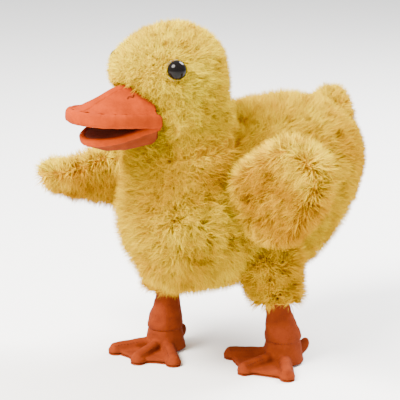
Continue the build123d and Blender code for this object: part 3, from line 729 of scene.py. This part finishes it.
billForm = {"voxelMm": 0.8, "wrinkleMm": 0.3, "wrinkleSizeMm": 8, "valleyMidMm": 1.5,
            "valleyWideMm": 4.5, "riseDegrees": 5, "weltStretch": 1.5,
            "pressed": {"billLeftPanel": ("billUpperRim", 2.4), "billRightPanel": ("billUpperRim", 2.4),
                        "billLowerCover": ("billLowerRim", 2.0)}}
billPieces = {  # piece: nodes, nodes it also hides, body, material, slot, smoothing rounds, swell in mm
    "billUpperRim": (["upper_bill_rim"], [], "head", billSuede, "orange_suede", 14, 1.3),
    "billLowerRim": (["lower_bill_rim"], [], "lower_bill", billSuede, "orange_suede", 12, 0.8),
    "billLeftPanel": (["upper_bill_left_panel"], ["upper_bill_filler"], "head", billSuede, "orange_suede",
                      5, 0.35),
    "billRightPanel": (["upper_bill_right_panel"], [], "head", billSuede, "orange_suede", 5, 0.35),
    "billRidgeStrip": (["upper_bill_ridge_strip"], [], "head", billSuede, "orange_suede", 5, 0.5),
    "mouthUpperLining": (["upper_mouth_lining"], [], "head", mouthFelt, "mouth_lining", 2, 0.3),
    # the lower bill cover takes the darker suede as painted shade under the bill
    "billLowerCover": (["lower_bill_cover"], ["lower_bill_filler"], "lower_bill", legAndShadedBillSuede, "orange_suede",
                       6, 0.3),
    "mouthLowerLining": (["lower_mouth_lining"], [], "lower_bill", mouthFelt, "mouth_lining", 2, 0.3),
}


def pressValley(panel, rim, depthMm):  # the cover dips where it is sewn to the welt
    welt = treeOf(rim)
    centre = sum((vertex.co for vertex in rim.data.vertices), Vector()) / len(rim.data.vertices)
    for vertex in panel.data.vertices:
        away = welt.find_nearest(vertex.co)[3] / mm
        inward = Vector((centre.x - vertex.co.x, centre.y - vertex.co.y, 0)).normalized()
        share = (away - billForm["valleyMidMm"]) / billForm["valleyWideMm"]
        vertex.co += inward * depthMm * mm * math.exp(-share ** 2)


def deepenRim(rim):  # the welt hangs below its sewing line
    top = max(vertex.co.z for vertex in rim.data.vertices)
    slope = math.tan(math.radians(billForm["riseDegrees"]))
    low = min(vertex.co.y for vertex in rim.data.vertices)
    for vertex in rim.data.vertices:
        edge = top - (vertex.co.y - low) * slope
        vertex.co.z = edge - (edge - vertex.co.z) * billForm["weltStretch"]


def makeBill():
    for name, (nodes, hidden, body, material, slot, rounds, swellMm) in billPieces.items():
        piece = soften(copyNodes(name, nodes), billForm["voxelMm"], rounds, swellMm)
        if name == "billUpperRim":
            deepenRim(piece)
        if name in billForm["pressed"]:
            rim, depthMm = billForm["pressed"][name]
            pressValley(piece, bpy.data.objects[rim], depthMm)
        wrinkle(piece, billForm["wrinkleMm"], billForm["wrinkleSizeMm"])
        dress(piece, material, slot)
        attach(piece, body)
        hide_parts(*nodes, *hidden)
    print("bill made")


# stitches, set one by one along lines that lie on the cloth

def makeStitchTree():
    tree, given = startTree("stitchTree", {
        "Pitch": ("NodeSocketFloat", 3 * mm), "Length": ("NodeSocketFloat", 2 * mm),
        "Thickness": ("NodeSocketFloat", 0.7 * mm)})
    line = addNode(tree, "GeometryNodeMeshToCurve", None, {"Mesh": given["Geometry"]}).outputs[0]
    line = addNode(tree, "GeometryNodeResampleCurve", {"mode": "LENGTH"},
                   {"Curve": line, "Length": given["Pitch"]}).outputs[0]
    bead = addNode(tree, "GeometryNodeMeshUVSphere", None,
                   {"Segments": 6, "Rings": 5, "Radius": 0.5}).outputs[0]
    tangent = addNode(tree, "GeometryNodeInputTangent").outputs[0]
    turn = addNode(tree, "FunctionNodeAlignRotationToVector", {"axis": "X"}, {"Vector": tangent}).outputs[0]
    size = addNode(tree, "ShaderNodeCombineXYZ", None,
                   {0: given["Length"], 1: given["Thickness"], 2: given["Thickness"]}).outputs[0]
    thread = addNode(tree, "GeometryNodeInstanceOnPoints", None,
                     {"Points": line, "Instance": bead, "Rotation": turn, "Scale": size}).outputs[0]
    thread = addNode(tree, "GeometryNodeRealizeInstances", None, {"Geometry": thread}).outputs[0]
    thread = addNode(tree, "GeometryNodeSetMaterial", None,
                     {"Geometry": thread, "Material": darkThread}).outputs[0]
    addNode(tree, "NodeGroupOutput", None, {0: thread})
    return tree


stitchTree = makeStitchTree()


def sewLines(name, lines, body, sizes):
    builder = bmesh.new()
    for line in lines:
        corners = [builder.verts.new(point) for point in line]
        for first, second in zip(corners, corners[1:]):
            builder.edges.new((first, second))
    mesh = bpy.data.meshes.new(name)
    builder.to_mesh(mesh)
    builder.free()
    piece = linkPiece(name, mesh)
    modifier = piece.modifiers.new("stitches", "NODES")
    modifier.node_group = stitchTree
    setInputs(modifier, sizes)
    bakeModifiers(piece)
    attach(piece, body)
    return piece


seamForm = {"toeAngles": {"left": (-58, -4, 46), "right": (-28, 14, 54)}, "toePoints": 8,
            "anklePoints": 25, "probeMm": 40, "toeReachMm": 46, "toeStartMm": 27,
            "toeSideMm": 4.2, "ankleHighMm": 21, "ankleHalfTurn": 75,
            "sizes": {"Pitch": 2.6 * mm, "Length": 1.5 * mm, "Thickness": 0.8 * mm}}


def sewFoot(side):
    top = treeOf(bpy.data.objects[side + "FootTop"])
    leg = bpy.data.objects[side + "LegSuede"]
    ankle = legCentre(leg, legForm["ankleMm"])
    probe = seamForm["probeMm"] * mm
    toeRun = seamForm["toeReachMm"] - seamForm["toeStartMm"]
    lines = []
    for angle in seamForm["toeAngles"][side]:
        a = math.radians(angle)
        ahead = Vector((math.sin(a), -math.cos(a), 0))
        beside = Vector((ahead.y, -ahead.x, 0))
        for way in (-1, 1):
            line = []
            for i in range(seamForm["toePoints"]):
                reach = seamForm["toeStartMm"] + toeRun * i / (seamForm["toePoints"] - 1)
                spot = ankle + (ahead * reach + beside * way * seamForm["toeSideMm"]) * mm
                hit = top.ray_cast(Vector((spot.x, spot.y, probe)), Vector((0, 0, -1)))[0]
                if hit:
                    line.append(hit)
            if len(line) > 1:
                lines.append(line)
    surface = treeOf(leg)
    heading = math.radians(sum(seamForm["toeAngles"][side]) / 3)
    ring = []
    for i in range(seamForm["anklePoints"]):
        a = heading + math.radians(seamForm["ankleHalfTurn"] * (2 * i / (seamForm["anklePoints"] - 1) - 1))
        outside = Vector((ankle.x + math.sin(a) * probe, ankle.y - math.cos(a) * probe,
                          seamForm["ankleHighMm"] * mm))
        inward = Vector((-math.sin(a), math.cos(a), 0))
        hits = [h for h in (surface.ray_cast(outside, inward), top.ray_cast(outside, inward)) if h[0]]
        if hits:
            ring.append(min(hits, key=lambda h: h[3])[0])
    sewLines(side + "FootStitches", lines, side + "_foot", seamForm["sizes"])
    sewLines(side + "AnkleStitches", [ring], side + "_foot", seamForm["sizes"])


nostrilForm = {"halfMm": 3.2, "insetMm": 1.5, "probeMm": 20, "bendMm": 0.9, "points": 9,
               "sizes": {"Pitch": 0.7 * mm, "Length": 0.8 * mm, "Thickness": 1.1 * mm}}


def sewNostrils():
    low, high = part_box("nostril_stitches")
    middle, reach = (low + high) / 2, (high - low) / 2
    lines = []
    for side, way in sides.items():
        panel = treeOf(bpy.data.objects[f"bill{side.capitalize()}Panel"])
        across = way * (reach.x - nostrilForm["insetMm"] * mm)
        line = []
        for i in range(nostrilForm["points"]):
            share = 2 * i / (nostrilForm["points"] - 1) - 1
            bend = nostrilForm["bendMm"] * math.sin(math.pi * share)
            spot = Vector((middle.x + across + bend * way * mm, middle.y + share * nostrilForm["halfMm"] * mm,
                           high.z + nostrilForm["probeMm"] * mm))
            hit = panel.ray_cast(spot, Vector((0, 0, -1)))[0]
            if hit:
                line.append(hit)
        if len(line) > 1:
            lines.append(line)
    piece = sewLines("nostrilStitches", lines, "head", nostrilForm["sizes"])
    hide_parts("nostril_stitches")


# nodes of the frame that show as they are, or only inside

keptNodes = {
    "left_eye": eyePlastic, "right_eye": eyePlastic,
    "eye_washers": washerPlastic,
    "hand_sleeve_body": sleeveCotton, "hand_sleeve_head": sleeveCotton,
    "opening_hem": pileBacking,
    "upper_mouth_board": greyBoard, "lower_mouth_board": greyBoard,
    "finger_pocket": sleeveCotton, "thumb_pocket": sleeveCotton,
}


liningForm = {"throatMm": 37, "voxelMm": 1.0, "smoothing": 1}


def makeNeckLining():  # the lining stops inside the plush
    piece = soften(copyNodes("neckLining", ["hand_sleeve_neck"]), liningForm["voxelMm"],
                   liningForm["smoothing"])
    throat = liningForm["throatMm"] * mm
    for vertex in piece.data.vertices:
        out = Vector((vertex.co.x - neckMid.x, vertex.co.y - neckMid.y, 0))
        if out.length > throat:
            vertex.co -= out * (1 - throat / out.length)
    dress(piece, sleeveCotton, "sleeve_lining")
    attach(piece, "neck")
    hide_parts("hand_sleeve_neck")


def finishKept():
    for node, material in keptNodes.items():
        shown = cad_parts[node]
        for slot in shown.material_slots:
            slot.material = material
    print("kept nodes finished")


# floor, light and camera

stageForm = {"floorM": 14, "floor": "#f4f4f4", "distanceMm": 1300, "azimuth": 44, "elevation": 14,
             "targetMm": (0, -32, 140), "lensMm": 141, "worldStrength": 1.25, "lampM": 1.7,
             "sensorMm": 36}
softboxes = {
    "keySoftbox": {"azimuth": -8, "elevation": 50, "sizeM": 1.0, "watts": 160, "colour": "#fffaf2"},
    "rimSoftbox": {"azimuth": 175, "elevation": 48, "sizeM": 0.9, "watts": 105, "colour": "#ffffff"},
}


def viewWay(azimuth, elevation):
    a, e = math.radians(azimuth), math.radians(elevation)
    return Vector((math.sin(a) * math.cos(e), -math.cos(a) * math.cos(e), math.sin(e)))


def addSoftbox(name, azimuth, elevation, sizeM, watts, colour):
    light = bpy.data.lights.new(name, "AREA")
    light.shape = "DISK"
    light.size = sizeM
    light.energy = watts
    light.color = linearColour(colour)[:3]
    lamp = bpy.data.objects.new(name, light)
    bpy.context.scene.collection.objects.link(lamp)
    target = Vector(stageForm["targetMm"]) * mm
    lamp.location = target + viewWay(azimuth, elevation) * stageForm["lampM"]
    lamp.rotation_euler = (target - lamp.location).to_track_quat("-Z", "Y").to_euler()


def makeStage():
    bpy.ops.mesh.primitive_plane_add(size=stageForm["floorM"])
    floor = bpy.context.object
    floor.name = "paleFloor"
    material, tree, shader = startMaterial("matPaperFloor", 0.9)
    shader.inputs["Base Color"].default_value = linearColour(stageForm["floor"])
    floor.data.materials.append(material)
    world = bpy.data.worlds.new("studio")
    world.use_nodes = True
    world.node_tree.nodes["Background"].inputs[0].default_value = (1, 1, 1, 1)
    world.node_tree.nodes["Background"].inputs[1].default_value = stageForm["worldStrength"]
    bpy.context.scene.world = world
    for name, values in softboxes.items():
        addSoftbox(name, **values)
    camera = bpy.data.cameras.new("camera")
    camera.lens = stageForm["lensMm"]
    camera.sensor_width = stageForm["sensorMm"]
    seat = bpy.data.objects.new("camera", camera)
    bpy.context.scene.collection.objects.link(seat)
    back = viewWay(stageForm["azimuth"], stageForm["elevation"])
    seat.location = (Vector(stageForm["targetMm"]) + back * stageForm["distanceMm"]) * mm
    seat.rotation_euler = (-back).to_track_quat("-Z", "Y").to_euler()
    bpy.context.scene.camera = seat


makeBody()
for side in sides:
    makeWing(side)
    makeLeg(side)
makeBill()
sewNostrils()
for side in sides:
    sewFoot(side)
makeNeckLining()
finishKept()
makeStage()
